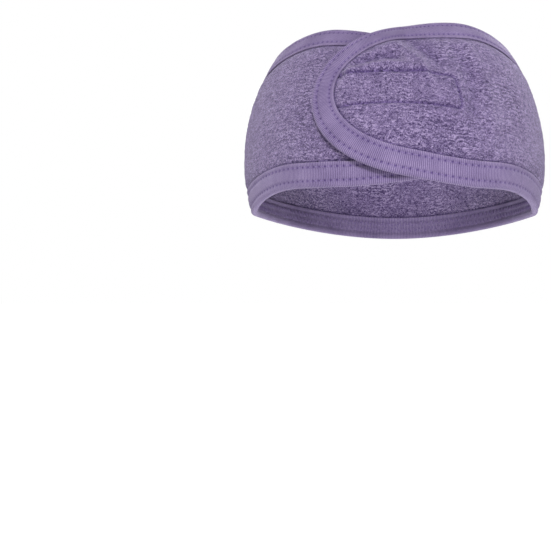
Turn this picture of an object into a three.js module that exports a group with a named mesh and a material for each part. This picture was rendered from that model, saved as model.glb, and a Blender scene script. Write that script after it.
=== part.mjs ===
// Spa headband of towelling, in its worn and closed shape.
// One long strip goes once round the head. Its plain end, the underlap, lies on the forehead, and
// its rounded end, the flap, comes over it from the wearer's left and sticks to it with hook and
// loop tape. A folded knit binding closes the raw edge all the way round, held by a coverstitch.
//
// Units are millimetres. +Z is up, the forehead faces -Y and the wearer's left is +X. The origin
// is the middle of the head opening, level with the lower edge on the forehead.
// Every piece is laid out flat first, as (along, across, out): along the strip from the middle of
// the forehead towards +X, across it from the lower edge up, and out from the skin. place() then
// wraps that flat layout round the head.

import * as THREE from 'three';

// ---- Driving dimensions ----

// The head, as an ellipse at the level where each part of the strip is widest.
const HEAD_HALF_WIDTH = 79;
const HEAD_HALF_DEPTH = 96;

// A value that changes smoothly round the head, given on the forehead, at the ears and behind.
const around = (front, side, back) => (turn) =>
  (front + 2 * side + back) / 4
  + ((front - back) / 2) * Math.cos(turn)
  + ((front - 2 * side + back) / 4) * Math.cos(2 * turn);

const stripWidth = around(94, 84, 78);
const lowerLean = around(0, -17, -14);
const UPPER_LEAN = { front: 58, side: 33, back: 24, frontEnd: 82 };
const EAR_DROP = { height: 11, from: 38 };
const BACK_DROP = 11;

// How far the two ends reach along the strip, and the sizes of their rounded corners.
const FLAP_TIP = -46;
const FLAP_LOWER_CORNER = { length: 68, height: 47 };
const FLAP_UPPER_CORNER_LENGTH = 54;
const FLAP_RISE = { height: 3.2, from: 5, to: 42 };
const UNDERLAP_REACH = 55;
const UNDERLAP_CORNER_LENGTH = 38;
const UNDERLAP_CLEARANCE = 5;
const UNDERLAP_RISE = { height: 8, length: 80 };

// Where the flap bends: it peels at the first line and swings open at the second.
const PEEL_LINE = 42;
const SWING_LINE = 100;
const BEND_GAP = 0.5;
// Where the flap, coming off the underlap, is back on the skin.
const FLAP_LANDED = 130;

// Thicknesses, from the skin outwards.
const GAP = 0.35;
const TERRY = 1.8;
const TAPE = 0.5;
const LOOPER = 0.35;
const NEEDLE = 0.3;
const LOOP_TAPE = 0.9;
const HOOK_TAPE = 1.1;

const BINDING_WIDTH = 12.5;
const TERRY_EDGE = 1.2;
const NEEDLE_WIDTH = 0.9;
const NEEDLE_ROWS = [3.5, 10.3];
const PATCH_WIDTH = 20;
const PATCH_CORNER = 4;
const PATCH_LEVEL = 49;
const PATCH_ARCH = { height: 3, reach: 35 };
const HOOK_PATCH = { from: -30, to: 36 };
const LOOP_PATCH = { from: -43, to: 40 };
const PATCH_STITCH_INSET = 1.2;

// ---- Layers that follow from the thicknesses ----

const stack = (floor, thickness) => [floor, floor + thickness];
const looperLayer = stack(0, LOOPER);
const innerTape = stack(looperLayer[1] + GAP, TAPE);
const terryLayer = stack(innerTape[1] + GAP, TERRY);
const outerTape = stack(terryLayer[1] + GAP, TAPE);
const needleLayer = stack(outerTape[1] + GAP, NEEDLE);
const FLAP_LIFT = needleLayer[1] + GAP;
const loopTapeLayer = stack(terryLayer[1] + GAP, LOOP_TAPE);
const hookTapeLayer = stack(terryLayer[0] - 2 * GAP - HOOK_TAPE, HOOK_TAPE);
const innerStitchLayer = stack(terryLayer[0] - 2 * GAP - NEEDLE, NEEDLE);
const outerStitchLayer = stack(terryLayer[1] + 2 * GAP, NEEDLE);

// ---- The head surface ----

const radians = THREE.MathUtils.degToRad;
const smooth = THREE.MathUtils.smoothstep;
const mix = THREE.MathUtils.lerp;
const AT_THE_EAR = Math.PI / 2;

// Distance along the head ellipse for evenly spaced turns, added up in short chords.
const TURNS = 1440;
const ellipsePoint = (turn) => new THREE.Vector2(
  HEAD_HALF_WIDTH * Math.sin(turn),
  -HEAD_HALF_DEPTH * Math.cos(turn),
);
const distances = [0];
for (let i = 1; i <= TURNS; i += 1) {
  const before = ellipsePoint(((i - 1) / TURNS) * 2 * Math.PI);
  const after = ellipsePoint((i / TURNS) * 2 * Math.PI);
  distances.push(distances[i - 1] + before.distanceTo(after));
}
const PERIMETER = distances[TURNS];
const STRIP_END = PERIMETER + UNDERLAP_REACH;

function turnAt(along) {
  const distance = THREE.MathUtils.euclideanModulo(along, PERIMETER);
  let low = 0;
  let high = TURNS;
  while (high - low > 1) {
    const middle = Math.floor((low + high) / 2);
    if (distances[middle] > distance) high = middle;
    else low = middle;
  }
  const part = (distance - distances[low]) / (distances[high] - distances[low]);
  return ((low + part) / TURNS) * 2 * Math.PI;
}

const widthAt = (along) => stripWidth(turnAt(along));

// The flap lies on the underlap, and comes down to the skin past its rounded end. That end is
// shorter towards the strip's edges, so the flap comes down sooner there.
function flapLift(along, across) {
  const fromMiddle = Math.abs((2 * across) / widthAt(along) - 1);
  const sooner = UNDERLAP_CORNER_LENGTH * (0.45 * fromMiddle ** 2 + 0.3 * fromMiddle ** 4);
  const start = UNDERLAP_REACH + UNDERLAP_CLEARANCE - sooner;
  return FLAP_LIFT * (1 - smooth(along, start, FLAP_LANDED));
}

function upperLean(fromFront) {
  const { front, side, back, frontEnd } = UPPER_LEAN;
  return front
    + (side - front) * smooth(fromFront, 0, radians(frontEnd))
    + (back - side) * smooth(fromFront, AT_THE_EAR, Math.PI);
}

// Across the strip the section is an arc that leans from lowerLean to upperLean.
function place(along, across, out) {
  const turn = turnAt(along);
  const fromFront = Math.min(turn, 2 * Math.PI - turn);
  const low = radians(lowerLean(turn));
  const high = radians(upperLean(fromFront));
  const radius = stripWidth(turn) / (high - low);
  const lean = low + across / radius;
  const drop = EAR_DROP.height * smooth(fromFront, radians(EAR_DROP.from), AT_THE_EAR)
    + BACK_DROP * smooth(fromFront, AT_THE_EAR, Math.PI);
  const lift = out + flapLift(along, across);
  const outward = new THREE.Vector2(
    Math.sin(turn) / HEAD_HALF_WIDTH,
    -Math.cos(turn) / HEAD_HALF_DEPTH,
  ).normalize();
  const spot = ellipsePoint(turn).addScaledVector(
    outward,
    lift * Math.cos(lean) - radius * (1 - Math.cos(lean)),
  );
  const height = radius * (Math.sin(lean) - Math.sin(low)) + lift * Math.sin(lean) - drop;
  return new THREE.Vector3(spot.x, spot.y, height);
}

// ---- The strip's edges, as lists of { along, across, inward } ----

const underlapRise = (along) =>
  UNDERLAP_RISE.height * smooth(along, STRIP_END - UNDERLAP_RISE.length, STRIP_END);
const flapRise = (along) => FLAP_RISE.height * (1 - smooth(along, FLAP_RISE.from, FLAP_RISE.to));
const lowerEdge = (along) => flapRise(along) + underlapRise(along);
const upperEdge = (along) => widthAt(along) - underlapRise(along) / 2;

function straightEdge(from, to, steps, edge, inward) {
  const points = [];
  for (let i = 0; i <= steps; i += 1) {
    const along = mix(from, to, i / steps);
    points.push({ along, across: edge(along), inward });
  }
  return points;
}

// A quarter of an ellipse, from the strip's end (angle 0) to its straight edge (a right angle).
// direction is +1 where the strip lies towards +along of its end; upward is +1 on the lower edge.
function cornerEdge(end, direction, upward, length, height, edge, steps) {
  const points = [];
  for (let i = 0; i <= steps; i += 1) {
    const angle = ((i / steps) * Math.PI) / 2;
    const along = end + direction * length * (1 - Math.cos(angle));
    const inward = new THREE.Vector2(
      (direction * Math.cos(angle)) / length,
      (upward * Math.sin(angle)) / height,
    ).normalize();
    const across = edge(along) + upward * height * (1 - Math.sin(angle));
    points.push({ along, across, inward });
  }
  return points;
}

const UP = new THREE.Vector2(0, 1);
const DOWN = new THREE.Vector2(0, -1);
const joined = (corner, straight) => [...corner, ...straight.slice(1)];

function flapTipEdges() {
  const lower = FLAP_LOWER_CORNER;
  const upper = {
    length: FLAP_UPPER_CORNER_LENGTH,
    height: upperEdge(FLAP_TIP) - lowerEdge(FLAP_TIP) - lower.height,
  };
  const last = PEEL_LINE - BEND_GAP;
  return {
    lower: joined(
      cornerEdge(FLAP_TIP, 1, 1, lower.length, lower.height, lowerEdge, 10),
      straightEdge(FLAP_TIP + lower.length, last, 3, lowerEdge, UP),
    ),
    upper: joined(
      cornerEdge(FLAP_TIP, 1, -1, upper.length, upper.height, upperEdge, 10),
      straightEdge(FLAP_TIP + upper.length, last, 3, upperEdge, DOWN),
    ),
  };
}

function flapRootEdges() {
  const first = PEEL_LINE + BEND_GAP;
  const last = SWING_LINE - BEND_GAP;
  return {
    lower: straightEdge(first, last, 6, lowerEdge, UP),
    upper: straightEdge(first, last, 6, upperEdge, DOWN),
  };
}

function bandEdges() {
  const first = SWING_LINE + BEND_GAP;
  const length = UNDERLAP_CORNER_LENGTH;
  const halfWidth = (upperEdge(STRIP_END) - lowerEdge(STRIP_END)) / 2;
  const steps = 40;
  return {
    lower: joined(
      cornerEdge(STRIP_END, -1, 1, length, halfWidth, lowerEdge, 6),
      straightEdge(STRIP_END - length, first, steps, lowerEdge, UP),
    ),
    upper: joined(
      cornerEdge(STRIP_END, -1, -1, length, halfWidth, upperEdge, 6),
      straightEdge(STRIP_END - length, first, steps, upperEdge, DOWN),
    ),
  };
}

// ---- Solids ----

const stepIn = (point, distance) => ({
  along: point.along + point.inward.x * distance,
  across: point.across + point.inward.y * distance,
});

// A closed solid from rings of points, each ring with the same count, capped at both ends.
function ringSolid(rings) {
  const count = rings[0].length;
  const positions = [];
  const faces = [];
  rings.forEach((ring) => ring.forEach((point) => positions.push(point.x, point.y, point.z)));
  const quad = (a, b, c, d) => faces.push(a, b, c, a, c, d);
  for (let i = 0; i + 1 < rings.length; i += 1) {
    for (let j = 0; j < count; j += 1) {
      const next = (j + 1) % count;
      const here = i * count;
      const there = here + count;
      quad(here + j, here + next, there + next, there + j);
    }
  }
  return { positions, faces, count, rings: rings.length };
}

function finished({ positions, faces }) {
  const geometry = new THREE.BufferGeometry();
  geometry.setAttribute('position', new THREE.Float32BufferAttribute(positions, 3));
  geometry.setIndex(faces);
  if (signedVolume(positions, faces) < 0) geometry.setIndex(faces.slice().reverse());
  geometry.computeVertexNormals();
  return geometry;
}

function signedVolume(positions, faces) {
  const corner = (index) => new THREE.Vector3().fromArray(positions, index * 3);
  let volume = 0;
  for (let i = 0; i < faces.length; i += 3) {
    const [a, b, c] = [corner(faces[i]), corner(faces[i + 1]), corner(faces[i + 2])];
    volume += a.dot(b.cross(c)) / 6;
  }
  return volume;
}

// A bent sheet: rows run across from one edge to the other, layer gives its inner and outer face.
function sheet(columns, layer) {
  const rings = columns.map((column) => {
    const face = (out) => column.map((spot) => place(spot.along, spot.across, out));
    return [...face(layer[1]), ...face(layer[0]).reverse()];
  });
  const solid = ringSolid(rings);
  const rows = columns[0].length;
  const last = (solid.rings - 1) * solid.count;
  for (let j = 0; j + 1 < rows; j += 1) {
    const back = solid.count - 1 - j;
    solid.faces.push(j, back, back - 1, j, back - 1, j + 1);
    solid.faces.push(last + j, last + back - 1, last + back, last + j, last + j + 1, last + back - 1);
  }
  return finished(solid);
}

// A run along an edge with a constant section, given as corners [distance in, out] in order.
function edgeRun(points, section, caps) {
  const rings = points.map((point) => section.map(([distance, out]) => {
    const spot = stepIn(point, distance);
    return place(spot.along, spot.across, out);
  }));
  const solid = ringSolid(rings);
  const last = (solid.rings - 1) * solid.count;
  caps.forEach(([a, b, c]) => {
    solid.faces.push(a, c, b);
    solid.faces.push(last + a, last + b, last + c);
  });
  return finished(solid);
}

// ---- Pieces ----

const ROW_STOPS = [TERRY_EDGE, BINDING_WIDTH / 2, BINDING_WIDTH + 1];
const MIDDLE_ROWS = 5;

function terryPanel(edges) {
  const columns = edges.lower.map((low, i) => {
    const high = edges.upper[i];
    const bottom = ROW_STOPS.map((stop) => stepIn(low, stop));
    const top = ROW_STOPS.map((stop) => stepIn(high, stop)).reverse();
    const middle = [];
    for (let j = 1; j < MIDDLE_ROWS; j += 1) {
      const part = j / MIDDLE_ROWS;
      middle.push({
        along: mix(bottom[2].along, top[0].along, part),
        across: mix(bottom[2].across, top[0].across, part),
      });
    }
    return [...bottom, ...middle, ...top];
  });
  return sheet(columns, terryLayer);
}

const bindingSection = [
  [BINDING_WIDTH, outerTape[1]],
  [BINDING_WIDTH / 2, outerTape[1]],
  [0, outerTape[1]],
  [0, innerTape[0]],
  [BINDING_WIDTH / 2, innerTape[0]],
  [BINDING_WIDTH, innerTape[0]],
  [BINDING_WIDTH, innerTape[1]],
  [BINDING_WIDTH / 2, innerTape[1]],
  [TAPE, innerTape[1]],
  [TAPE, outerTape[0]],
  [BINDING_WIDTH / 2, outerTape[0]],
  [BINDING_WIDTH, outerTape[0]],
];
const bindingCaps = [
  [0, 1, 10], [0, 10, 11], [1, 2, 9], [1, 9, 10], [2, 3, 8], [2, 8, 9],
  [3, 4, 7], [3, 7, 8], [4, 5, 6], [4, 6, 7],
];

const binding = (points) => edgeRun(points, bindingSection, bindingCaps);

const ribbonCaps = [[0, 1, 2], [0, 2, 3]];
const ribbonSection = (near, far, layer) => [
  [near, layer[1]],
  [near, layer[0]],
  [far, layer[0]],
  [far, layer[1]],
];

const needleThread = (points, row) => edgeRun(
  points,
  ribbonSection(row - NEEDLE_WIDTH / 2, row + NEEDLE_WIDTH / 2, needleLayer),
  ribbonCaps,
);

const looperThread = (points) => edgeRun(
  points,
  ribbonSection(NEEDLE_ROWS[0], NEEDLE_ROWS[1], looperLayer),
  ribbonCaps,
);

// The edge as one run: along the lower edge to the rounded end, round it, and back on top.
const roundTheEnd = ({ lower, upper }) => [...lower.slice(1).reverse(), ...upper];
// Terry stops short of the very end, where the lower and upper edges meet in one point.
const clearOfTheEnd = ({ lower, upper }) => ({ lower: lower.slice(1), upper: upper.slice(1) });

// Half the patch's width at a distance from its nearer end, with rounded corners.
function patchHalfWidth(fromEnd) {
  const short = Math.max(0, PATCH_CORNER - fromEnd);
  return PATCH_WIDTH / 2 - PATCH_CORNER + Math.sqrt(PATCH_CORNER ** 2 - short ** 2);
}

// The tape follows the lie of the cloth, so its middle arches above its ends.
const patchLevel = (along) => PATCH_LEVEL - PATCH_ARCH.height * (along / PATCH_ARCH.reach) ** 2;

function patch({ from, to }, shift, layer) {
  const stops = [0.1, 1, 2.4, PATCH_CORNER];
  const middle = 8;
  const length = to - from;
  const near = stops.map((stop) => stop - stops[0]);
  const between = [];
  for (let i = 1; i < middle; i += 1) {
    between.push(mix(PATCH_CORNER, length - PATCH_CORNER, i / middle));
  }
  const far = near.map((stop) => length - stop).reverse();
  const columns = [...near, ...between, ...far].map((distance) => {
    const half = patchHalfWidth(Math.min(distance, length - distance) + stops[0]);
    return [-1, -0.5, 0, 0.5, 1].map((side) => ({
      along: from + shift + distance,
      across: patchLevel(from + distance) + side * half,
    }));
  });
  return sheet(columns, layer);
}

// One box of stitching inside a patch's edge, from a corner round to just short of where it began.
function patchStitch({ from, to }, shift, layer) {
  const left = from + shift + PATCH_STITCH_INSET;
  const right = to + shift - PATCH_STITCH_INSET;
  const half = PATCH_WIDTH / 2 - PATCH_STITCH_INSET;
  const sides = 8;
  const path = [];
  const add = (along, side, inwardAlong, inwardAcross) => path.push({
    along,
    across: patchLevel(along - shift) + side,
    inward: new THREE.Vector2(inwardAlong, inwardAcross),
  });
  add(left, half - NEEDLE_WIDTH - GAP, 1, 0);
  add(left, -half, 1, 1);
  for (let i = 1; i < sides; i += 1) add(mix(left, right, i / sides), -half, 0, 1);
  add(right, -half, -1, 1);
  add(right, half, -1, -1);
  for (let i = 1; i < sides; i += 1) add(mix(right, left, i / sides), half, 0, -1);
  add(left, half, 0, -1);
  const section = ribbonSection(-NEEDLE_WIDTH / 2, NEEDLE_WIDTH / 2, layer);
  return edgeRun(path, section, ribbonCaps);
}

// ---- Finishes ----

const finish = (color, roughness) => new THREE.MeshStandardMaterial({ color, roughness, metalness: 0 });
const lavenderTerry = () => finish('#80709a', 1);
const lavenderKnit = () => finish('#8c7ca6', 0.9);
const lavenderThread = () => finish('#6c5b8c', 0.7);
const lavenderTape = () => finish('#7d6d98', 0.85);

// ---- Assembly ----

const headband = new THREE.Group();

function add(name, geometry, material) {
  const mesh = new THREE.Mesh(geometry, material);
  mesh.name = name;
  headband.add(mesh);
}

const ROW_NAMES = ['outer', 'inner'];

function addSeam(part, points) {
  add(`${part}_binding`, binding(points), lavenderKnit());
  NEEDLE_ROWS.forEach((row, i) => {
    add(`${part}_${ROW_NAMES[i]}_needle_thread`, needleThread(points, row), lavenderThread());
  });
  add(`${part}_looper_thread`, looperThread(points), lavenderThread());
}

// The band: right round the head, to the underlap on the forehead.
const band = bandEdges();
add('band_terry', terryPanel(clearOfTheEnd(band)), lavenderTerry());
addSeam('band', roundTheEnd(band));
add('loop_patch', patch(LOOP_PATCH, PERIMETER, loopTapeLayer), lavenderTape());
add('loop_patch_stitching', patchStitch(LOOP_PATCH, PERIMETER, innerStitchLayer), lavenderThread());

// The flap's root, between the temple and the line where the tip peels.
const root = flapRootEdges();
add('flap_root_terry', terryPanel(root), lavenderTerry());
addSeam('flap_root_lower', root.lower);
addSeam('flap_root_upper', root.upper);

// The flap's rounded tip, with the hook patch on its inner face.
const tip = flapTipEdges();
add('flap_tip_terry', terryPanel(clearOfTheEnd(tip)), lavenderTerry());
addSeam('flap_tip', roundTheEnd(tip));
add('hook_patch', patch(HOOK_PATCH, 0, hookTapeLayer), lavenderTape());
add('hook_patch_stitching', patchStitch(HOOK_PATCH, 0, outerStitchLayer), lavenderThread());

export default headband;
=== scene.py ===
"""Spa headband of towelling, worn and closed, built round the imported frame.

Sizes are in millimetres until a mesh is made, and the mesh is in metres. Every piece is laid out
flat as (along, across, out), as in a cutting plan: along the strip from the middle of the forehead
towards the wearer's left, across it from the lower edge up, and out from the skin. place() wraps
that layout round the head.
"""

import math

import bpy
import numpy as np
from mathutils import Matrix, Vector


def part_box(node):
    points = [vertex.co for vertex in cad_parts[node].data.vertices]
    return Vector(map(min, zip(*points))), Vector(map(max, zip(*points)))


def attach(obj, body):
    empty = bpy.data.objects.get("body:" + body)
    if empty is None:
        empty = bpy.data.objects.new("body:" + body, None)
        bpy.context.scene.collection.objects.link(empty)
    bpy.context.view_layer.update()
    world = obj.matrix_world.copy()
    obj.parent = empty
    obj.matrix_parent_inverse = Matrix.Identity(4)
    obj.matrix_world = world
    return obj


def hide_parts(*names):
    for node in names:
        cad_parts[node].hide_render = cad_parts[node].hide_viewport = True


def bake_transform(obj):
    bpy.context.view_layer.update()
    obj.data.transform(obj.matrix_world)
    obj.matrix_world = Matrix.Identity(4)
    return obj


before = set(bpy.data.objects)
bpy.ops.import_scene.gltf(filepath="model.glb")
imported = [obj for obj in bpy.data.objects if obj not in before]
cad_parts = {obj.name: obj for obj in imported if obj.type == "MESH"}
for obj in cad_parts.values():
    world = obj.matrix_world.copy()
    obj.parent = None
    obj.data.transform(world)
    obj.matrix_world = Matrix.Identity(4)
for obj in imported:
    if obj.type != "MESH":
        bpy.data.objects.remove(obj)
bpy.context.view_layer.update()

MM = 0.001

# ---- The strip's dimensions ----

TERRY_IN, TERRY_OUT = 1.55, 3.35
TAPE_IN, TAPE_OUT = 0.7, 4.2
FLAP_LIFT = 5.2

terry_low, terry_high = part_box("band_terry")
HEAD_HALF_WIDTH = round(terry_high[0] / MM - TERRY_OUT)
HEAD_HALF_DEPTH = round(terry_high[1] / MM - TERRY_OUT)

FLAP_TIP = -46.0
FLAP_LOWER_CORNER = (68.0, 47.0)
FLAP_UPPER_CORNER_LENGTH = 54.0
FLAP_RISE = 3.2
FLAP_RISE_FADES = (5.0, 42.0)
UNDERLAP_REACH = 55.0
UNDERLAP_CORNER_LENGTH = 38.0
UNDERLAP_CLEARANCE = 5.0
UNDERLAP_RISE = 8.0
UNDERLAP_RISE_LENGTH = 80.0
FLAP_LANDED = 130.0

BINDING_WIDTH = 12.5
NEEDLE_ROWS = (3.5, 10.3)
STITCH_PITCH = 3.4
PATCH_LEVEL = 49.0
PATCH_SAG = 3.0
PATCH_SAG_REACH = 35.0
PATCH_HALF_WIDTH = 10.0
HOOK_PATCH = (-30.0, 36.0)
LOOP_PATCH = (-43.0, 40.0)
PATCH_STITCH_INSET = 1.2
BOX_CORNER = 3.0
# The hook patch's end is caught under the binding, so its box of stitching runs on under there.
HOOK_BOX = (-40.0, 36.0)

# The strip is made in three stretches: the band, the temple and the flap. They meet away from the
# two places where the cloth bends.
TEMPLE_START = 128.0
ROOT_JOIN = 71.0
SWING_BEND = (114.0, 84.0)
PEEL_BEND = (48.0, 37.0)

# How the strip leans in from upright, in degrees, and how far it drops from the forehead to the ears
# and again from the ears to the nape.
UPPER_LEAN_FRONT, UPPER_LEAN_SIDE, UPPER_LEAN_BACK = 58, 33, 24
UPPER_LEAN_SETTLES = math.radians(82)
EAR_DROP = 11
EAR_DROP_START = math.radians(38)
NAPE_DROP = 11
AT_THE_EAR = math.pi / 2
AT_THE_NAPE = math.pi


def smooth(x, start, end):
    part = np.clip((np.asarray(x, float) - start) / (end - start), 0, 1)
    return part * part * (3 - 2 * part)


def around(front, side, back):
    """A value that changes smoothly round the head, given on the forehead, at the ears and behind."""
    return lambda turn: (
        (front + 2 * side + back) / 4
        + (front - back) / 2 * np.cos(turn)
        + (front - 2 * side + back) / 4 * np.cos(2 * turn)
    )


strip_width = around(front=94, side=84, back=78)
lower_lean = around(front=0, side=-17, back=-14)


def upper_lean(from_front):
    to_side = (UPPER_LEAN_FRONT - UPPER_LEAN_SIDE) * smooth(from_front, 0, UPPER_LEAN_SETTLES)
    to_back = (UPPER_LEAN_SIDE - UPPER_LEAN_BACK) * smooth(from_front, AT_THE_EAR, AT_THE_NAPE)
    return UPPER_LEAN_FRONT - to_side - to_back


TURN_STEPS = 1440
TURNS = np.linspace(0, 2 * math.pi, TURN_STEPS + 1)
CHORDS = np.hypot(
    np.diff(HEAD_HALF_WIDTH * np.sin(TURNS)),
    np.diff(HEAD_HALF_DEPTH * np.cos(TURNS)),
)
DISTANCES = np.concatenate([[0], np.cumsum(CHORDS)])
PERIMETER = DISTANCES[-1]
STRIP_END = PERIMETER + UNDERLAP_REACH


def turn_at(along):
    return np.interp(np.mod(along, PERIMETER), DISTANCES, TURNS)


def flap_lift(along, across):
    """How far the underlap holds the flap off the skin. It is shorter towards the strip's edges."""
    from_middle = np.abs(2 * across / strip_width(turn_at(along)) - 1)
    sooner = UNDERLAP_CORNER_LENGTH * (0.45 * from_middle ** 2 + 0.3 * from_middle ** 4)
    start = UNDERLAP_REACH + UNDERLAP_CLEARANCE - sooner
    return FLAP_LIFT * (1 - smooth(along, start, FLAP_LANDED))


def place(along, across, out):
    """Wraps points of the flat layout round the head. Takes and gives arrays, the result in metres."""
    along = np.asarray(along, float)
    turn = turn_at(along)
    from_front = np.minimum(turn, 2 * math.pi - turn)
    low = np.radians(lower_lean(turn))
    high = np.radians(upper_lean(from_front))
    radius = strip_width(turn) / (high - low)
    lean = low + across / radius
    drop = EAR_DROP * smooth(from_front, EAR_DROP_START, AT_THE_EAR)
    drop = drop + NAPE_DROP * smooth(from_front, AT_THE_EAR, AT_THE_NAPE)
    lift = out + flap_lift(along, across)
    normal_x = np.sin(turn) / HEAD_HALF_WIDTH
    normal_y = -np.cos(turn) / HEAD_HALF_DEPTH
    size = np.hypot(normal_x, normal_y)
    outward = lift * np.cos(lean) - radius * (1 - np.cos(lean))
    x = HEAD_HALF_WIDTH * np.sin(turn) + normal_x / size * outward
    y = -HEAD_HALF_DEPTH * np.cos(turn) + normal_y / size * outward
    z = radius * (np.sin(lean) - np.sin(low)) + lift * np.sin(lean) - drop
    return np.stack(np.broadcast_arrays(x, y, z), -1) * MM


# ---- The strip's outline ----

CORNER_POINTS = 120
EDGE_POINTS = 400
TEMPLE_EDGE_POINTS = 60


def lower_edge(along):
    flap = FLAP_RISE * (1 - smooth(along, *FLAP_RISE_FADES))
    return flap + UNDERLAP_RISE * smooth(along, STRIP_END - UNDERLAP_RISE_LENGTH, STRIP_END)


def upper_edge(along):
    underlap = UNDERLAP_RISE / 2 * smooth(along, STRIP_END - UNDERLAP_RISE_LENGTH, STRIP_END)
    return strip_width(turn_at(along)) - underlap


def corner(end, direction, upward, length, height, edge, angles):
    """A quarter of an ellipse, from the strip's end (angle 0) to its straight edge."""
    along = end + direction * length * (1 - np.cos(angles))
    across = edge(along) + upward * height * (1 - np.sin(angles))
    inward = np.stack([direction * np.cos(angles) / length, upward * np.sin(angles) / height], -1)
    return along, across, inward / np.linalg.norm(inward, axis=-1, keepdims=True)


def straight(start, end, upward, edge, count):
    along = np.linspace(start, end, count)
    inward = np.tile([0.0, upward], (count, 1))
    return along, edge(along), inward


def stretch_edges(name):
    """The lower and upper edge of one stretch, each from its rounded end or its first cut."""
    if name == "temple":
        lower = straight(ROOT_JOIN, TEMPLE_START, 1, lower_edge, TEMPLE_EDGE_POINTS)
        upper = straight(ROOT_JOIN, TEMPLE_START, -1, upper_edge, TEMPLE_EDGE_POINTS)
        return lower, upper
    if name == "flap":
        tip = FLAP_TIP
        direction = 1
        cut = ROOT_JOIN
        lower_length, lower_height = FLAP_LOWER_CORNER
        upper_length = FLAP_UPPER_CORNER_LENGTH
        upper_height = upper_edge(tip) - lower_edge(tip) - lower_height
    else:
        tip = STRIP_END
        direction = -1
        cut = TEMPLE_START
        lower_length = upper_length = UNDERLAP_CORNER_LENGTH
        lower_height = upper_height = (upper_edge(tip) - lower_edge(tip)) / 2
    quarter = np.linspace(0, math.pi / 2, CORNER_POINTS)
    edges = []
    for upward, length, height, edge in (
        (1, lower_length, lower_height, lower_edge),
        (-1, upper_length, upper_height, upper_edge),
    ):
        bend = corner(tip, direction, upward, length, height, edge, quarter)
        rest = straight(tip + direction * length, cut, upward, edge, EDGE_POINTS)
        edges.append(tuple(np.concatenate([a, b[1:]]) for a, b in zip(bend, rest)))
    return edges


class Run:
    """A line along an edge of the strip, which can be read at any distance along it."""

    def __init__(self, along, across, inward):
        steps = np.hypot(np.diff(along), np.diff(across))
        self.distances = np.concatenate([[0], np.cumsum(steps)])
        self.length = self.distances[-1]
        self.columns = (along, across, inward[:, 0], inward[:, 1])

    def at(self, distance, inset):
        along, across, inward_along, inward_across = (
            np.interp(distance, self.distances, column) for column in self.columns
        )
        return along + inward_along * inset, across + inward_across * inset


def edge_runs(name):
    """The runs of binding on one stretch: one round its end, or one along each edge of the temple."""
    lower, upper = stretch_edges(name)
    if name == "temple":
        return {"lower": Run(*lower), "upper": Run(*upper)}
    round_the_end = [np.concatenate([a[::-1], b[1:]]) for a, b in zip(lower, upper)]
    return {"": Run(*round_the_end)}


# ---- Mesh making ----

# One unit of a piece's UV map, in mm.
LAYOUT_UNIT = 100


def new_object(name, points, faces, uvs=None, attributes=None):
    mesh = bpy.data.meshes.new(name)
    mesh.from_pydata(points.tolist(), [], faces)
    if uvs is not None:
        layer = mesh.uv_layers.new(name="Layout")
        corners = np.zeros(len(mesh.loops), int)
        mesh.loops.foreach_get("vertex_index", corners)
        layer.data.foreach_set("uv", uvs[corners].astype(np.float32).ravel())
    for key, values in (attributes or {}).items():
        attribute = mesh.attributes.new(key, "FLOAT", "POINT")
        attribute.data.foreach_set("value", np.asarray(values, np.float32).ravel())
    mesh.polygons.foreach_set("use_smooth", [True] * len(mesh.polygons))
    obj = bpy.data.objects.new(name, mesh)
    bpy.context.scene.collection.objects.link(obj)
    return obj


def ring_faces(rings, count):
    """Quads of a tube of rings, each of count points, closed round each ring."""
    i = np.arange(rings - 1)[:, None] * count
    j = np.arange(count)[None, :]
    after = (j + 1) % count
    quads = np.stack([i + j, i + count + j, i + count + after, i + after], -1)
    return quads.reshape(-1, 4).tolist()


def outward_facing(obj):
    """Turns a closed piece's faces out, if its signed volume says that they point in."""
    mesh = obj.data
    mesh.calc_loop_triangles()
    corners = np.zeros(len(mesh.loop_triangles) * 3, int)
    mesh.loop_triangles.foreach_get("vertices", corners)
    points = np.zeros(len(mesh.vertices) * 3)
    mesh.vertices.foreach_get("co", points)
    a, b, c = points.reshape(-1, 3)[corners.reshape(-1, 3)].transpose(1, 0, 2)
    if np.einsum("ij,ij->i", a, np.cross(b, c)).sum() < 0:
        mesh.flip_normals()
    return obj


def lattice(ix, iy, seed):
    """A repeatable random number from 0 to 1 for each whole-numbered lattice point."""
    value = (ix * 374761393 + iy * 668265263 + seed * 1442695041) & 0xFFFFFFFF
    value = ((value ^ (value >> 13)) * 1274126177) & 0xFFFFFFFF
    return ((value ^ (value >> 16)) & 0xFFFF) / 65535.0


def noise(x, y, seed):
    """Smooth noise from 0 to 1 with one lump for each unit of x and y."""
    x, y = np.broadcast_arrays(np.asarray(x, float), np.asarray(y, float))
    ix, iy = np.floor(x).astype(np.int64), np.floor(y).astype(np.int64)
    fx, fy = x - ix, y - iy
    fx, fy = fx * fx * (3 - 2 * fx), fy * fy * (3 - 2 * fy)
    low = lattice(ix, iy, seed) * (1 - fx) + lattice(ix + 1, iy, seed) * fx
    high = lattice(ix, iy + 1, seed) * (1 - fx) + lattice(ix + 1, iy + 1, seed) * fx
    return low * (1 - fy) + high * fy


# ---- Terry: the loops, the folds and the puff between the bindings ----

LOOP_ROW = 1.9
OUTER_LOOPS, INNER_LOOPS = 0.6, 0.5
LOOPS_MIDDLE = 0.35
# The inner face has other loops than the outer: it reads the same pattern this far along from it.
INNER_PATTERN_SHIFT = 80

# How far from the binding's edge the loops show and the puff starts and is full.
LOOPS_SHOW = 1.2
PUFF_STARTS, PUFF_FULL = -0.8, 5.0
PUFF = 1.25
INNER_PUFF = 0.6

# How dark the painted shade along a crease is, from 0 to 1, and the half width of its line.
SEAM_PAINTED_SHADE, SEAM_WIDTH = 0.9, 0.8
BOX_PAINTED_SHADE, INNER_BOX_PAINTED_SHADE, BOX_WIDTH = 0.95, 0.8, 0.75
# Painted highlight on the folds' ridges and painted shade in their hollows, for each mm of height.
FOLD_PAINTED_SHADING = 0.24

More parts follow.
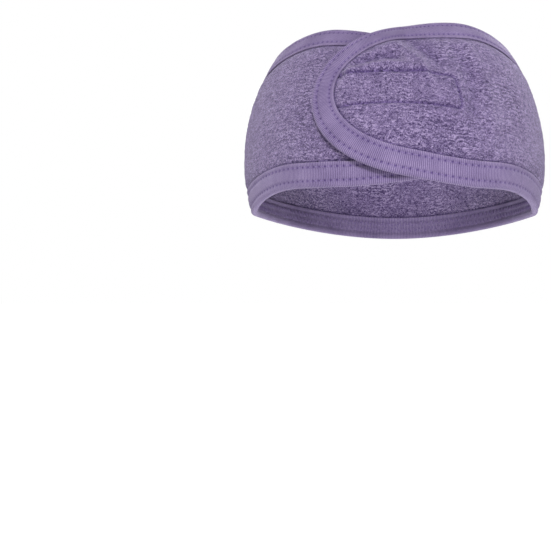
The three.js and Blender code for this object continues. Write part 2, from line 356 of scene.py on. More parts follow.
# Dents of the boxes of stitching, with their half width, and how far the cloth inside the box sinks.
BOX_DENT, BOX_DENT_WIDTH = 1.1, 0.8
INNER_BOX_DENT, INNER_BOX_DENT_WIDTH = 0.6, 0.9
BOX_SINK, BOX_SINK_REACH = 0.4, 3.0

# Over a patch, the cloth's face on that side lies flat. It starts to flatten outside the stitching.
PATCH_FLATTENS = (-2.5, -0.5)

# Soft folds of the flap, where it is drawn up over the brow: points (along, across), half width,
# and height, negative in a hollow.
FOLDS = (
    (((-27, 57), (-14, 61), (-2, 62.3), (9, 61), (18, 57)), 2.9, 1.8),
    (((-24, 63.5), (-8, 67.8), (3, 67.8)), 3.2, -2.0),
    (((-10, 82), (0, 76), (9, 69), (17, 62)), 3.4, 1.8),
    (((11, 81), (20, 73), (27, 65)), 5.0, -1.6),
    (((50, 72), (52, 50), (50, 28)), 5.0, 1.1),
    (((41, 70), (43, 52), (40, 36)), 4.0, -0.8),
)


def distance_to_line(along, across, points):
    nearest = np.full(np.broadcast(along, across).shape, np.inf)
    for (ax, ay), (bx, by) in zip(points, points[1:]):
        dx, dy = bx - ax, by - ay
        part = ((along - ax) * dx + (across - ay) * dy) / (dx * dx + dy * dy)
        part = np.clip(part, 0, 1)
        gap = np.hypot(along - ax - part * dx, across - ay - part * dy)
        nearest = np.minimum(nearest, gap)
    return nearest


def patch_level(along):
    return PATCH_LEVEL - PATCH_SAG * (along / PATCH_SAG_REACH) ** 2


def box_depth(along, across, patch, shift):
    """How far a point lies inside a patch's box of stitching, in mm, negative outside."""
    start, end = patch
    corner_centre = PATCH_HALF_WIDTH - PATCH_STITCH_INSET - BOX_CORNER
    local = along - shift
    beside = np.abs(across - patch_level(local)) - corner_centre
    ahead = np.abs(local - (start + end) / 2) - (end - start) / 2 + PATCH_STITCH_INSET + BOX_CORNER
    outside = np.hypot(np.maximum(beside, 0), np.maximum(ahead, 0))
    return BOX_CORNER - outside - np.minimum(np.maximum(beside, ahead), 0)


def pile(along, across):
    """Height of the loops, from 0 in the gaps to 1 on the tips."""
    sway = 1.1 * noise(along / 9, across / 7, 3) + 0.5 * noise(along / 3, across / 3, 4)
    rows = 0.5 + 0.5 * np.cos(2 * math.pi * (across / LOOP_ROW + sway))
    regular = noise(along / 30, across / 25, 9)
    lumps = noise(along / 1.9, across / 1.5, 5)
    return 0.15 + 0.35 * regular * rows + 0.6 * lumps


def line_of(depth, width):
    """1 along the line where depth is 0, fading to nothing about a width away."""
    return np.exp(-(depth / width) ** 2)


def terry_surface(along, across, inset, side):
    """Where the terry's face stands, how high its loops are there, and its painted shade and highlight.
    """
    tips = pile(along + INNER_PATTERN_SHIFT / 2 * side, across)
    free = smooth(inset, BINDING_WIDTH + PUFF_STARTS, BINDING_WIDTH + PUFF_FULL)
    shown = smooth(inset, BINDING_WIDTH - LOOPS_SHOW, BINDING_WIDTH + LOOPS_SHOW)
    swell = PUFF * free * (0.85 + 0.3 * noise(along / 17, across / 14, 7))
    # Painted shade in the dark line along the binding's edge.
    painted_shading = SEAM_PAINTED_SHADE * line_of(inset - BINDING_WIDTH - 0.2, SEAM_WIDTH)
    hook_depth = box_depth(along, across, HOOK_BOX, 0)
    loop_depth = box_depth(along, across, LOOP_PATCH, PERIMETER)
    if side > 0:
        for points, width, height in FOLDS:
            near = line_of(distance_to_line(along, across, points), width)
            swell = swell + height * free * near
            # The folds get painted highlight on their ridges and painted shade in their hollows.
            painted_shading = painted_shading - FOLD_PAINTED_SHADING * height * free * near
        swell = swell - BOX_DENT * line_of(hook_depth, BOX_DENT_WIDTH)
        swell = swell - BOX_SINK * smooth(hook_depth, 0, BOX_SINK_REACH)
        swell = swell * (1 - smooth(loop_depth, *PATCH_FLATTENS))
        # Painted shade along the dent of the hook patch's box of stitching.
        painted_shading = np.maximum(painted_shading, BOX_PAINTED_SHADE * line_of(hook_depth, BOX_WIDTH))
        face = TERRY_OUT - 0.1 + swell + OUTER_LOOPS * shown * (tips - LOOPS_MIDDLE)
        return face, tips, painted_shading
    swell = INNER_PUFF * swell * (1 - smooth(hook_depth, *PATCH_FLATTENS))
    swell = swell - INNER_BOX_DENT * line_of(loop_depth, INNER_BOX_DENT_WIDTH)
    # Painted shade along the dent of the loop patch's box of stitching.
    painted_shading = np.maximum(painted_shading, INNER_BOX_PAINTED_SHADE * line_of(loop_depth, BOX_WIDTH))
    face = TERRY_IN + 0.1 - swell - INNER_LOOPS * shown * (tips - LOOPS_MIDDLE)
    return face, tips, painted_shading


TERRY_EDGE = 1.2
TERRY_START = 8.0
OUTER_ROWS = 145
INNER_ROWS = 73
# The inner face lies beside the outer face in the UV map, this far across.
INNER_LAYOUT = 120


def edge_distance(along, across, runs):
    """Distance of each point from the nearest edge of the strip, worked out a column at a time."""
    outline = np.concatenate([
        np.stack(run.at(np.linspace(0, run.length, int(run.length)), 0), -1) for run in runs
    ])
    gaps = np.zeros(along.shape)
    for i in range(len(along)):
        dx = along[i][:, None] - outline[None, :, 0]
        dy = across[i][:, None] - outline[None, :, 1]
        gaps[i] = np.sqrt((dx * dx + dy * dy).min(axis=1))
    return gaps


def terry(name, columns):
    """One stretch of towelling as a closed shell, with loops on both faces."""
    lower, upper = (Run(*edge) for edge in stretch_edges(name))
    first = 0 if name == "temple" else TERRY_START
    low = lower.at(np.linspace(first, lower.length, columns), TERRY_EDGE)
    high = upper.at(np.linspace(first, upper.length, columns), TERRY_EDGE)
    rings, heights, painted_shadings, layouts = [], [], [], []
    for side, rows in ((1, OUTER_ROWS), (-1, INNER_ROWS)):
        part = np.linspace(0, 1, rows)[None, ::side]
        along = low[0][:, None] * (1 - part) + high[0][:, None] * part
        across = low[1][:, None] * (1 - part) + high[1][:, None] * part
        inset = edge_distance(along, across, (lower, upper))
        out, tips, painted_shading = terry_surface(along, across, inset, side)
        rings.append(place(along, across, out))
        heights.append(tips)
        painted_shadings.append(painted_shading)
        layouts.append(np.stack([along, across + INNER_LAYOUT * (side < 0)], -1))
    points = np.concatenate(rings, axis=1)
    count = points.shape[1]
    faces = ring_faces(columns, count)
    last = (columns - 1) * count
    for k in range(INNER_ROWS - 1):
        inner = count - 1 - k
        cap = [2 * k, 2 * k + 1, 2 * k + 2, inner - 1, inner]
        faces.append(cap)
        faces.append([last + corner_index for corner_index in reversed(cap)])
    obj = new_object(
        "terry_" + name,
        points.reshape(-1, 3),
        faces,
        uvs=np.concatenate(layouts, axis=1).reshape(-1, 2) / LAYOUT_UNIT,
        attributes={
            "pile": np.concatenate(heights, axis=1),
            # Painted shade, below 0 painted highlight, for the terry's finish.
            "painted_shading": np.concatenate(painted_shadings, axis=1),
        },
    )
    return outward_facing(obj)


# ---- Binding: a knit tape folded over the edge ----

RINGS_PER_STITCH = 4
TAPE_WALL = 0.5
ROLL = 1.6
GIRTH_STEP = 0.4

# The tape's face stands a little off its seat, highest along its middle, and wavers.
TAPE_STANDS, TAPE_CROWN, TAPE_WAVER = 0.05, 0.22, 0.12

# Grooves under the needle rows, the holes between their stitches, and the lip at the tape's edge.
GROOVE_WIDTH, HOLE_WIDTH, LIP_WIDTH = 0.8, 0.6, 0.6
GROOVE_DEPTH, HOLE_DEPTH, LIP_HEIGHT = 0.42, 0.2, 0.15
# The painted shade in the grooves and holes, and the painted highlight on the lip, which is negative.
GROOVE_PAINTED_SHADE, HOLE_PAINTED_SHADE, LIP_PAINTED_HIGHLIGHT = 0.15, 1.1, -0.3


def stitch_count(run):
    return round(run.length / STITCH_PITCH)


def tape_height(inset, distance, hole):
    """How far the tape's face stands above its seat, and its painted shade and highlight."""
    height = TAPE_STANDS + TAPE_CROWN * np.sin(math.pi * np.clip(inset / BINDING_WIDTH, 0, 1))
    height = height + TAPE_WAVER * (noise(distance / 6, inset / 5, 11) - 0.5)
    painted_shading = 0.0
    for row in NEEDLE_ROWS:
        groove = line_of(inset - row, GROOVE_WIDTH)
        height = height - groove * (GROOVE_DEPTH + HOLE_DEPTH * hole)
        # Painted shade along each groove, deeper in each needle hole.
        painted_shading = painted_shading + GROOVE_PAINTED_SHADE * groove
        painted_shading = painted_shading + HOLE_PAINTED_SHADE * line_of(inset - row, HOLE_WIDTH) * hole
    # The lip at the tape's edge stands up and gets painted highlight.
    lip = line_of(inset - BINDING_WIDTH, LIP_WIDTH)
    return height + LIP_HEIGHT * lip, painted_shading + LIP_PAINTED_HIGHLIGHT * lip


def tape_profile():
    """The folded tape's section as (inset, seat, face): face is 1 outside, -1 on the skin, 0 within."""
    section = [(BINDING_WIDTH + 0.05, TERRY_OUT + 0.15, 0), (BINDING_WIDTH + 0.2, TAPE_OUT - 0.3, 0)]
    section += [(inset, TAPE_OUT, 1) for inset in np.linspace(BINDING_WIDTH, ROLL, 32)]
    middle = (TAPE_OUT + TAPE_IN) / 2
    reach = (TAPE_OUT - TAPE_IN) / 2
    for angle in np.linspace(0, math.pi, 11)[1:-1]:
        section.append((ROLL - ROLL * math.sin(angle), middle + reach * math.cos(angle), 0))
    section += [(inset, TAPE_IN, -1) for inset in np.linspace(ROLL, BINDING_WIDTH, 20)]
    section += [(BINDING_WIDTH + 0.2, TAPE_IN + 0.3, 0), (BINDING_WIDTH + 0.05, TERRY_IN - 0.1, 0)]
    section += [(inset, TAPE_IN + TAPE_WALL, 0) for inset in (BINDING_WIDTH / 2, TAPE_WALL + 0.6)]
    section += [(TAPE_WALL, middle, 0)]
    section += [(inset, TAPE_OUT - TAPE_WALL, 0) for inset in (TAPE_WALL + 0.6, BINDING_WIDTH / 2)]
    return np.array(section)


def binding(name, run):
    rings = RINGS_PER_STITCH * stitch_count(run) + 1
    distance = np.linspace(0, run.length, rings)[:, None]
    hole = (np.arange(rings) % RINGS_PER_STITCH == 0)[:, None]
    inset, seat, face = (column[None, :] for column in tape_profile().T)
    along, across = run.at(distance, inset)
    height, painted_shading = tape_height(inset, distance, hole)
    points = place(along, across, seat + face * height)
    count = points.shape[1]
    faces = ring_faces(rings, count)
    faces.append(list(range(count)))
    faces.append(list(range(rings * count - 1, (rings - 1) * count - 1, -1)))
    layout = np.stack(np.broadcast_arrays(distance, GIRTH_STEP * np.arange(count)[None, :]), -1)
    obj = new_object(
        name,
        points.reshape(-1, 3),
        faces,
        uvs=layout.reshape(-1, 2) / LAYOUT_UNIT,
        # Only the outer face gets the painted shade and highlight.
        attributes={"painted_shading": painted_shading * (face > 0)},
    )
    return outward_facing(obj)


# ---- Thread: each stitch is a short bent length of thread ----

THREAD_SIDES = 6
NEEDLE_THREAD, LOOPER_THREAD, BOX_THREAD = 0.3, 0.26, 0.26
HOOK_WIRE, NAP_YARN = 0.13, 0.14

# Half of a needle stitch's length, and a looper crossing's, as parts of the pitch.
NEEDLE_REACH, LOOPER_REACH = 0.36, 0.42
BOX_PITCH, BOX_REACH = 3.0, 1.1
STITCH_POINTS = 5

# How far each kind of stitch lies in the tape or stands off it in its middle, and how much deeper its
# ends lie.
NEEDLE_SUNK, NEEDLE_BEND = 0.33, 0.3
LOOPER_STANDS, LOOPER_BEND = 0.3, 0.25
BOX_BEND = 0.25


def thread_lengths(name, paths, radius, upright=False):
    """Many short threads in one mesh. paths is an array (threads, points, 3) of their middle lines.

    A thread's first side faces away from the head, or upwards where upright is set.
    """
    threads, steps, _ = paths.shape
    forward = np.gradient(paths, axis=1)
    forward /= np.linalg.norm(forward, axis=-1, keepdims=True)
    outward = np.tile([0.1, 0.1, 1.0], paths.shape[:2] + (1,)) if upright else paths * [1, 1, 0.2]
    outward -= forward * np.einsum("ijk,ijk->ij", forward, outward)[..., None]
    outward /= np.linalg.norm(outward, axis=-1, keepdims=True)
    sideways = np.cross(forward, outward)
    angle = np.linspace(0, 2 * math.pi, THREAD_SIDES, endpoint=False)
    narrow_ends = np.sin(np.linspace(0.22, math.pi - 0.22, steps)) ** 0.4
    girth = (radius * MM * narrow_ends)[None, :, None, None]
    rings = paths[:, :, None, :] + girth * (
        np.cos(angle)[None, None, :, None] * outward[:, :, None, :]
        + np.sin(angle)[None, None, :, None] * sideways[:, :, None, :]
    )
    faces = []
    one = ring_faces(steps, THREAD_SIDES)
    one.append(list(range(THREAD_SIDES)))
    one.append([steps * THREAD_SIDES - 1 - k for k in range(THREAD_SIDES)])
    for thread in range(threads):
        start = thread * steps * THREAD_SIDES
        faces.extend([start + corner_index for corner_index in face] for face in one)
    obj = new_object(name, rings.reshape(-1, 3), faces)
    return outward_facing(obj)


def needle_stitches(name, run, row):
    """A row of straight stitches on the binding's outer face, sunk at both ends."""
    pitch = run.length / stitch_count(run)
    middle = (np.arange(stitch_count(run)) + 0.5)[:, None] * pitch
    reach = np.linspace(-1, 1, STITCH_POINTS)[None, :]
    along, across = run.at(middle + NEEDLE_REACH * pitch * reach, row)
    out = TAPE_OUT - NEEDLE_SUNK - NEEDLE_BEND * reach ** 2
    return thread_lengths(name, place(along, across, out), NEEDLE_THREAD)


def looper_chain(name, run):
    """The coverstitch's inner side: two threads that zigzag between the needle rows."""
    pitch = run.length / stitch_count(run)
    start = (np.arange(stitch_count(run)) + 0.5)[:, None] * pitch
    reach = np.linspace(0, 1, STITCH_POINTS)[None, :]
    middle = sum(NEEDLE_ROWS) / 2
    paths = []
    for row in NEEDLE_ROWS:
        for lean in (-1, 1):
            distance = start + LOOPER_REACH * pitch * lean * reach
            along, across = run.at(distance, row + (middle - row) * reach)
            out = TAPE_IN - LOOPER_STANDS + LOOPER_BEND * (2 * reach - 1) ** 2
            paths.append(place(along, across, out))
    return thread_lengths(name, np.concatenate(paths), LOOPER_THREAD)


# ---- Hook and loop patches, and the stitched boxes that hold them ----

PATCH_CORNER = 4.0
PLATE_COLUMNS, PLATE_ROWS = 90, 25
PLATE_EDGE = 0.12
# Heights of each plate's two faces off the skin.
HOOK_PLATE = (0.72, 1.2)
LOOP_PLATE = (3.7, 4.2)
HOOK_PITCH = (1.6, 1.35)
NAP_PITCH = (1.5, 1.3)
FIELD_MARGIN = 2.4
FIELD_ROWS = (2.2 - PATCH_HALF_WIDTH, PATCH_HALF_WIDTH - 2.1)


def patch_plate(name, patch, shift, layer):
    """The woven ground of a patch: a thin plate with rounded corners that bends with the cloth."""
    start, end = patch
    towards_end = np.linspace(0.02, math.pi - 0.02, PLATE_COLUMNS)
    distance = (end - start) * (0.5 - 0.5 * np.cos(towards_end))
    from_end = np.minimum(distance, end - start - distance)
    short = np.maximum(0, PATCH_CORNER - from_end)
    half = PATCH_HALF_WIDTH - PATCH_CORNER + np.sqrt(PATCH_CORNER ** 2 - short ** 2)
    part = np.linspace(-1, 1, PLATE_ROWS)
    across = patch_level(start + distance)[:, None] + half[:, None] * part[None, :]
    along = np.broadcast_to(start + shift + distance[:, None], across.shape)
    round_rim = PLATE_EDGE * np.abs(part[None, :]) ** 12
    top = place(along, across, layer[1] - round_rim)
    bottom = place(along, across, layer[0] + round_rim)[:, ::-1]
    points = np.concatenate([top, bottom], axis=1)
    count = 2 * PLATE_ROWS
    faces = ring_faces(PLATE_COLUMNS, count)
    last = (PLATE_COLUMNS - 1) * count
    for k in range(PLATE_ROWS - 1):
        cap = [k, k + 1, count - 2 - k, count - 1 - k]
        faces.append(cap)
        faces.append([last + corner_index for corner_index in reversed(cap)])
    flat = np.stack([along, across], -1)
    layout = np.concatenate([flat, flat[:, ::-1]], axis=1)
    obj = new_object(name, points.reshape(-1, 3), faces, uvs=layout.reshape(-1, 2) / LAYOUT_UNIT)
    return outward_facing(obj)


def patch_grid(patch, shift, pitch_along, pitch_across):
    """Places for the hooks or loops of a patch, in staggered rows inside its stitched edge."""
    start, end = patch
    along = np.arange(start + FIELD_MARGIN, end - FIELD_MARGIN, pitch_along)
    rows = np.arange(*FIELD_ROWS, pitch_across)
    along, rows = np.meshgrid(along, rows)
    along = along + pitch_along / 2 * (np.round(rows / pitch_across) % 2)
    return (along + shift).ravel(), (patch_level(along) + rows).ravel()


def draw(along, across, seed):
    """A repeatable random number from 0 to 1 for each place of a hook or loop."""
    return lattice(np.round(along * 10).astype(int), np.round(across * 10).astype(int), seed)


def moulded_hooks(name, patch, shift, seat):
    """Each hook rises from the plate towards the skin and turns over, one way or the other."""
    along, across = patch_grid(patch, shift, *HOOK_PITCH)
    turn = np.linspace(-math.pi / 2, math.pi * 0.55, 6)
    stem = np.concatenate([[0.0], 0.42 + 0.28 * (np.sin(turn) + 1)])
    lean = np.concatenate([[0.0], 0.3 * np.cos(turn)])
    way = np.where(draw(along, across, 2) > 0.5, 1, -1)
    paths = place(
        along[:, None] + way[:, None] * lean[None, :],
        np.broadcast_to(across[:, None], (len(across), len(stem))),
        seat - stem[None, :],
    )
    return thread_lengths(name, paths, HOOK_WIRE, upright=True)


def napped_loops(name, patch, shift, seat):
    """Small arches of yarn that stand on the plate at all angles."""
    along, across = patch_grid(patch, shift, *NAP_PITCH)
    spin = 2 * math.pi * draw(along, across, 8)
    arch = np.linspace(0, math.pi, 7)[None, :]
    reach = 0.75 * np.cos(arch)
    paths = place(
        along[:, None] + np.cos(spin)[:, None] * reach,
        across[:, None] + np.sin(spin)[:, None] * reach,
        seat - 0.1 + 0.62 * np.sin(arch),
    )
    return thread_lengths(name, paths, NAP_YARN, upright=True)


BOX_POINTS = 4000

# Seen from the middle of the box, the binding covers it from this angle on.
HOOK_BOX_TURN = math.radians(166)


def box_run(patch, shift, first, last):
    """The line of a patch's box of stitching, between two angles as seen from its middle."""
    start, end = patch
    half_length = (end - start) / 2 - PATCH_STITCH_INSET - BOX_CORNER
    half_width = PATCH_HALF_WIDTH - PATCH_STITCH_INSET - BOX_CORNER
    angle = np.linspace(first, last, BOX_POINTS)
    x, y = np.cos(angle), np.sin(angle)
    side = np.sign(np.stack([x, y]))
    reach = np.minimum(half_length / np.abs(x), half_width / np.abs(y))
    x, y = reach * x, reach * y
    near_x = np.where(half_length - np.abs(x) < 1e-6, side[0], 0)
    near_y = np.where(half_width - np.abs(y) < 1e-6, side[1], 0)
    along = (start + end) / 2 + x + BOX_CORNER * near_x
    across = y + BOX_CORNER * near_y
    return Run(along + shift, patch_level(along) + across, np.zeros((len(along), 2)))


def box_stitches(name, patch, shift, level, turn=math.pi):
    """A box of straight stitches, left open at its start where turn is less than half a circle."""
    run = box_run(patch, shift, -turn, turn)
    count = int(run.length / BOX_PITCH)
    middle = (np.arange(count) + 0.5)[:, None] * run.length / count
    reach = np.linspace(-1, 1, STITCH_POINTS)[None, :]
    along, across = run.at(middle + BOX_REACH * reach, 0)
    return thread_lengths(name, place(along, across, level - BOX_BEND * reach ** 2), BOX_THREAD)


# ---- Finishes ----

# The share of its colour that a finish loses under full painted shade, at the bottom of a crease.
# Green loses more than that and blue less, which keeps the painted shade purple.
PAINTED_SHADE_DEPTH = 0.6
PAINTED_SHADE_TINT = (1.0, 1.15, 0.7)


class Finish:
    """A material with its nodes, and short ways to add and join them."""

    def __init__(self, name, roughness, sheen, sheen_tint):
        self.material = bpy.data.materials.new(name)
        self.material.use_nodes = True
        self.nodes = self.material.node_tree.nodes
        self.links = self.material.node_tree.links
        self.shader = self.nodes["Principled BSDF"]
        self.shader.inputs["Roughness"].default_value = roughness
        self.shader.inputs["Sheen Weight"].default_value = sheen
        self.shader.inputs["Sheen Roughness"].default_value = 0.45
        self.shader.inputs["Sheen Tint"].default_value = (*sheen_tint, 1)
        self.shader.inputs["Specular IOR Level"].default_value = 0.15

    def node(self, kind, **settings):
        made = self.nodes.new("ShaderNode" + kind)
        for key, value in settings.items():
            setattr(made, key, value)
        return made

    def set(self, node, **values):
        for key, value in values.items():
            socket = node.inputs[key.replace("_", " ")]
            if isinstance(value, bpy.types.NodeSocket):
                self.links.new(value, socket)
            else:
                socket.default_value = value
        return node

    def layout(self):
        return self.node("UVMap", uv_map="Layout").outputs["UV"]

    def noise(self, vector, size_mm, detail=2.0):
        made = self.node("TexNoise")
        self.set(made, Vector=vector, Scale=LAYOUT_UNIT / size_mm, Detail=detail, Roughness=0.6)
        return made.outputs["Fac"]

    def ramp(self, factor, *stops):
        made = self.node("ValToRGB")
        elements = made.color_ramp.elements
        while len(elements) < len(stops):
            elements.new(0.5)
        for element, (position, color) in zip(elements, stops):
            element.position = position
            element.color = (*color, 1)
        self.set(made, Fac=factor)
        return made.outputs["Color"]

    def blend(self, factor, first, second, mode="MIX"):
        made = self.node("Mix", data_type="RGBA", blend_type=mode)
        colors = [socket for socket in made.inputs if socket.type == "RGBA"]
        for socket, value in zip(colors, (first, second)):
            if isinstance(value, bpy.types.NodeSocket):
                self.links.new(value, socket)
            else:
                socket.default_value = (*value, 1)
        if isinstance(factor, bpy.types.NodeSocket):
            self.links.new(factor, made.inputs["Factor"])
        else:
            made.inputs["Factor"].default_value = factor
        return next(socket for socket in made.outputs if socket.type == "RGBA")

    def sum(self, *weighted):
        """Adds sockets up, each given as (socket, weight)."""
        total = None
        for socket, weight in weighted:
            scaled = self.node("Math", operation="MULTIPLY")
            self.links.new(socket, scaled.inputs[0])
            scaled.inputs[1].default_value = weight
            if total is None:
                total = scaled.outputs[0]
                continue
            added = self.node("Math", operation="ADD")
            self.links.new(total, added.inputs[0])
            self.links.new(scaled.outputs[0], added.inputs[1])
            total = added.outputs[0]
        return total

    def finish(self, color, height, depth_mm):
        bump = self.set(self.node("Bump"), Height=height, Distance=depth_mm * MM, Strength=1.0)
        self.set(self.shader, Base_Color=color, Normal=bump.outputs["Normal"])
        return self.material


def grey(value):
    return (value, value, value)


def with_painted_shading(made, color):
    """Paints shade into a colour in the piece's creases, above 0, and highlight on its ridges, below 0.
    """
    shade = made.node("VectorMath", operation="MULTIPLY_ADD")
    made.links.new(made.node("Attribute", attribute_name="painted_shading").outputs["Fac"], shade.inputs[0])
    shade.inputs[1].default_value = [-PAINTED_SHADE_DEPTH * part for part in PAINTED_SHADE_TINT]
    shade.inputs[2].default_value = (1, 1, 1)
    return made.blend(1.0, color, shade.outputs["Vector"], "MULTIPLY")


def terry_finish():
    made = Finish("terry", 0.95, 0.3, (0.78, 0.70, 0.95))
    layout = made.layout()
    stretched = made.node("Mapping")
    made.set(stretched, Vector=layout, Scale=(0.72, 1.0, 1.0))
    curls = made.node("TexNoise")
    made.set(curls, Vector=stretched.outputs["Vector"], Scale=105.0, Detail=4.0)
    made.set(curls, Roughness=0.75, Distortion=1.2)
    rows = made.node("TexWave", wave_type="BANDS", bands_direction="Y")
    made.set(rows, Vector=layout, Scale=16.5, Distortion=9.0, Detail=3.0, Detail_Scale=2.0)
    orderly = made.ramp(made.noise(layout, 30), (0.42, grey(0.0)), (0.62, grey(1.0)))
    rows = made.blend(orderly, grey(0.5), rows.outputs["Color"])
    loops_height = made.node("Attribute", attribute_name="pile").outputs["Fac"]
    fine = made.noise(layout, 0.5)
    # The colour is partly random tone and partly painted shade: darker where the curls, rows and loops
    # sit low.
    depth = made.sum((curls.outputs["Fac"], 0.62), (rows, 0.10), (loops_height, 0.09), (fine, 0.31))
    color = made.ramp(
        depth,
        (0.475, (0.020, 0.012, 0.046)),
        (0.56, (0.084, 0.060, 0.136)),
        (0.66, (0.250, 0.202, 0.330)),
    )
    patches = made.ramp(made.noise(layout, 24, 3.0), (0.3, (0.84, 0.80, 0.86)), (0.7, (1.0, 1.0, 0.98)))
    color = made.blend(1.0, color, patches, "MULTIPLY")
    height = made.sum((curls.outputs["Fac"], 1.0), (fine, 0.4), (rows, 0.15))
    return made.finish(with_painted_shading(made, color), height, 0.8)


def binding_finish():
    made = Finish("binding", 0.85, 0.2, (0.8, 0.72, 0.95))
    layout = made.layout()
    ribs = made.node("TexWave", wave_type="BANDS", bands_direction="X")
    made.set(ribs, Vector=layout, Scale=33.0, Distortion=1.4, Detail=2.0, Detail_Scale=3.0)
    fine = made.noise(layout, 0.4)
    cloudy = made.noise(layout, 14)
    # The colour is partly random tone and partly painted shade: lighter where the ribs and grain stand
    # high.
    tone_and_painted_shade = made.sum((ribs.outputs["Fac"], 0.40), (fine, 0.50), (cloudy, 0.40))
    color = made.ramp(
        tone_and_painted_shade,
        (0.37, (0.046, 0.031, 0.084)),
        (0.67, (0.109, 0.081, 0.161)),
        (0.95, (0.180, 0.143, 0.242)),
    )
    height = made.sum((ribs.outputs["Fac"], 0.7), (fine, 0.4))
    return made.finish(with_painted_shading(made, color), height, 0.18)


def thread_finish():
    made = Finish("thread", 0.6, 0.15, (0.7, 0.6, 0.9))
    place_in_object = made.node("TexCoord").outputs["Object"]
    twist = made.node("TexNoise")
    made.set(twist, Vector=place_in_object, Scale=2500.0, Detail=1.0)
    color = made.ramp(twist.outputs["Fac"], (0.3, (0.080, 0.053, 0.140)), (0.7, (0.150, 0.110, 0.225)))
    return made.finish(color, twist.outputs["Fac"], 0.08)


def tape_finish(name, light):
    made = Finish(name, 0.55, 0.1, (0.7, 0.6, 0.9))
    place_in_object = made.node("TexCoord").outputs["Object"]
    weave = made.node("TexNoise")
    made.set(weave, Vector=place_in_object, Scale=1400.0, Detail=2.0)
    dark = tuple(0.6 * value for value in light)
    color = made.ramp(weave.outputs["Fac"], (0.3, dark), (0.7, light))
    return made.finish(color, weave.outputs["Fac"], 0.12)


FINISHES = {
    "terry": terry_finish(),
    "binding": binding_finish(),
    "thread": thread_finish(),
    "hook_tape": tape_finish("hook_tape", (0.17, 0.125, 0.25)),
    "loop_tape": tape_finish("loop_tape", (0.19, 0.14, 0.275)),
}


# ---- Assembly ----

# Middle of the strip's width at the two bends, and middle of the cloth's thickness.
TEMPLE_MIDDLE = 44
FLAP_MIDDLE = 48
CLOTH_MIDDLE = 3


def bend_ends(bend, across):
    """The two points between which a bend is spread."""
    return (tuple(place(along, across, CLOTH_MIDDLE)) for along in bend)


def carry(obj, stretch):
    """Rides a band piece with the band's body. A temple or flap piece is not bent; its transform is
    only baked.
    """
    if stretch == "band":
        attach(obj, "band")
    elif stretch == "temple":
        start, end = bend_ends(SWING_BEND, TEMPLE_MIDDLE)
        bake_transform(obj)
    else:
        start, end = bend_ends(PEEL_BEND, FLAP_MIDDLE)
        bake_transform(obj)


def finished(obj, slot, *nodes):
    """Gives a piece its finish, and hides the CAD nodes that it stands for."""
    obj.data.materials.append(FINISHES[slot])
    if nodes:
        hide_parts(*nodes)
    return obj


CAD_NAMES = {
    ("band", ""): "band",
    ("temple", "lower"): "flap_root_lower",
    ("temple", "upper"): "flap_root_upper",
    ("flap", ""): "flap_tip",
}
TERRY_COLUMNS = {"band": 440, "temple": 60, "flap": 190}
TERRY_NODES = {"band": "band_terry", "temple": "flap_root_terry", "flap": "flap_tip_terry"}


def flat_outline(name):
    """The lower and upper edge of a stretch as evenly spaced points of the cutting plan."""
    runs = (Run(*edge) for edge in stretch_edges(name))
    return [np.stack(run.at(np.linspace(0, run.length, EDGE_POINTS), 0), -1) for run in runs]


def flat_area(name):
    """Area of a stretch in the cutting plan, in square metres."""
    lower, upper = flat_outline(name)
    x, y = np.concatenate([lower, upper[::-1]]).T
    return abs(np.dot(x, np.roll(y, -1)) - np.dot(y, np.roll(x, -1))) / 2 * MM * MM


def flat_size(name):
    """Width and length of the rectangle that a stretch is cut from, in metres."""
    length, width = np.ptp(np.concatenate(flat_outline(name)), axis=0)
    return width * MM, length * MM


for stretch, columns in TERRY_COLUMNS.items():
    cloth = finished(terry(stretch, columns), "terry", TERRY_NODES[stretch])
    carry(cloth, stretch)
    for label, run in edge_runs(stretch).items():
        cad_name = CAD_NAMES[stretch, label]
        title = f"{stretch}_{label}".rstrip("_")
        tape = finished(binding("binding_" + title, run), "binding", cad_name + "_binding")
        carry(tape, stretch)
        for row_name, row in zip(("outer", "inner"), NEEDLE_ROWS):
            stitches = needle_stitches(f"{row_name}_stitches_{title}", run, row)
            carry(finished(stitches, "thread", f"{cad_name}_{row_name}_needle_thread"), stretch)
        chain = looper_chain("looper_chain_" + title, run)
        carry(finished(chain, "thread", cad_name + "_looper_thread"), stretch)
    flat_size(stretch)
    flat_area(stretch)

hook_ground = finished(
    patch_plate("hook_patch_ground", HOOK_PATCH, 0, HOOK_PLATE),
    "hook_tape",
    "hook_patch",
)
loop_ground = finished(
    patch_plate("loop_patch_ground", LOOP_PATCH, PERIMETER, LOOP_PLATE),
    "loop_tape",
    "loop_patch",
)
hook_field = finished(
    moulded_hooks("hook_field", HOOK_PATCH, 0, HOOK_PLATE[0]),
    "hook_tape",
)
loop_field = finished(
    napped_loops("loop_field", LOOP_PATCH, PERIMETER, LOOP_PLATE[1]),
    "loop_tape",
)
hook_box = finished(
    box_stitches("hook_box_stitches", HOOK_BOX, 0, TERRY_OUT + 0.15, HOOK_BOX_TURN),
    "thread",
    "hook_patch_stitching",
)
hook_box_inside = finished(
    box_stitches("hook_box_bobbin_stitches", HOOK_PATCH, 0, HOOK_PLATE[0] - 0.05),
    "thread",
)
loop_box = finished(
    box_stitches("loop_box_stitches", LOOP_PATCH, PERIMETER, LOOP_PLATE[1] + 0.15),
    "thread",
)
loop_box_inside = finished(
    box_stitches("loop_box_bobbin_stitches", LOOP_PATCH, PERIMETER, TERRY_IN + 0.35),
    "thread",
    "loop_patch_stitching",
)
for piece in (hook_ground, hook_field, hook_box, hook_box_inside):
    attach(piece, "flap_tip")
for piece in (loop_ground, loop_field, loop_box, loop_box_inside):
    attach(piece, "band")


# ---- Floor, light and camera ----

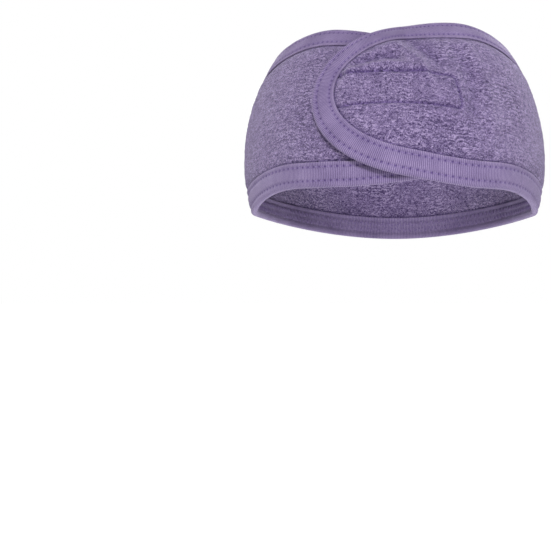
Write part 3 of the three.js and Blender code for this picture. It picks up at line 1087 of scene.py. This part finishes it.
# The floor shines a little of its own, so that it stays white far from the lamps.
white_floor = bpy.data.materials.new("floor")
white_floor.use_nodes = True
floor_shader = white_floor.node_tree.nodes["Principled BSDF"]
floor_shader.inputs["Base Color"].default_value = (0.8, 0.8, 0.8, 1)
floor_shader.inputs["Roughness"].default_value = 0.9
floor_shader.inputs["Emission Color"].default_value = (1, 1, 1, 1)
floor_shader.inputs["Emission Strength"].default_value = 0.7

bpy.ops.object.select_all(action="DESELECT")
bpy.ops.mesh.primitive_plane_add(size=12, location=(0, 2.0, -0.19))
floor = bpy.context.active_object
floor.name = "floor"
floor.data.materials.append(white_floor)


def soft_light(name, place_m, size, watts, aim=(0, 0, 0.03)):
    data = bpy.data.lights.new(name, "AREA")
    data.shape = "DISK"
    data.size = size
    data.energy = watts
    lamp = bpy.data.objects.new(name, data)
    lamp.location = place_m
    lamp.rotation_euler = (Vector(aim) - Vector(place_m)).to_track_quat("-Z", "Y").to_euler()
    bpy.context.scene.collection.objects.link(lamp)


soft_light("key_light", (-0.1, -1.2, 0.85), 0.4, 29.5)
soft_light("fill_light", (1.2, -0.9, 0.35), 0.9, 9)
soft_light("back_light", (0.3, 1.2, 0.9), 0.9, 22)

# The studio's walls look white, and light the band a little less than the lamps do.
world = bpy.data.worlds.new("studio")
world.use_nodes = True
walls = world.node_tree.nodes["Background"]
rays = world.node_tree.nodes.new("ShaderNodeLightPath")
strength = world.node_tree.nodes.new("ShaderNodeMapRange")
strength.inputs["To Min"].default_value = 0.42
strength.inputs["To Max"].default_value = 1.0
world.node_tree.links.new(rays.outputs["Is Camera Ray"], strength.inputs["Value"])
world.node_tree.links.new(strength.outputs["Result"], walls.inputs["Strength"])
walls.inputs["Color"].default_value = (1, 1, 1, 1)
bpy.context.scene.world = world
bpy.context.scene.view_settings.view_transform = "Standard"

# The view is level with the brow, from a metre in front, with the band in the frame's upper right.
camera_data = bpy.data.cameras.new("camera")
camera_data.sensor_width = 36
camera_data.lens = 117
camera_data.shift_x = -0.216
camera = bpy.data.objects.new("camera", camera_data)
camera.location = (0, -1.002, -0.045)
camera.rotation_euler = (math.pi / 2, 0, 0)
bpy.context.scene.collection.objects.link(camera)
bpy.context.scene.camera = camera
